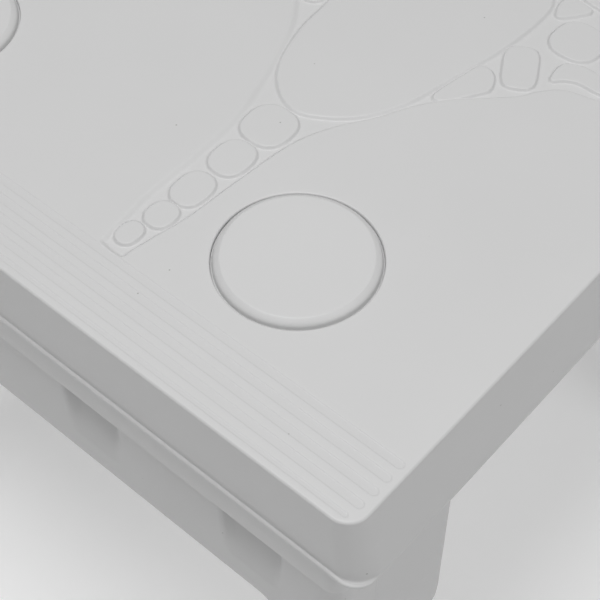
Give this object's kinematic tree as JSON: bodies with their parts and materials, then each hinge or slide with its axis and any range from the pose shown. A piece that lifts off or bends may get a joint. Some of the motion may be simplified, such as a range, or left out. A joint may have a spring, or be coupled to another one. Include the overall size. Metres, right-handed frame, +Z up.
{
  "type": "shower stool",
  "caption": "Square moulded plastic shower stool with a hollow deck on front and rear leg frames, round press-in caps, a ribbed tread edge and rubber feet.",
  "frame": {"origin": "on the floor, under the middle of the seat", "axes": "+Z up, +X along the front edge to the right, +Y from the front edge (the one with the tread strip) to the rear"},
  "size_m": [0.417, 0.41, 0.3826],
  "materials": {
    "deck_plastic": "blow-moulded polyethylene, satin, pale grey-white",
    "frame_plastic": "blow-moulded polyethylene, satin, pale grey-white",
    "cap_plastic": "injection-moulded polypropylene, satin, pale grey-white",
    "stainless": "stainless steel, plain",
    "foot_rubber": "moulded rubber, matt, mid grey"
  },
  "bodies": {
    "root": {"seat_deck": "deck_plastic", "front_leg_frame": "frame_plastic", "rear_leg_frame": "frame_plastic", "well_cap_front_left": "cap_plastic", "well_cap_front_right": "cap_plastic", "well_cap_rear_left": "cap_plastic", "well_cap_rear_right": "cap_plastic", "deck_bolt_front_left": "stainless", "deck_bolt_front_right": "stainless", "deck_bolt_rear_left": "stainless", "deck_bolt_rear_right": "stainless", "bolt_washer_front_left": "stainless", "bolt_washer_front_right": "stainless", "bolt_washer_rear_left": "stainless", "bolt_washer_rear_right": "stainless", "bolt_nut_front_left": "stainless", "bolt_nut_front_right": "stainless", "bolt_nut_rear_left": "stainless", "bolt_nut_rear_right": "stainless", "foot_front_left": "foot_rubber", "foot_front_right": "foot_rubber", "foot_rear_left": "foot_rubber", "foot_rear_right": "foot_rubber"}
  },
  "joints": []
}
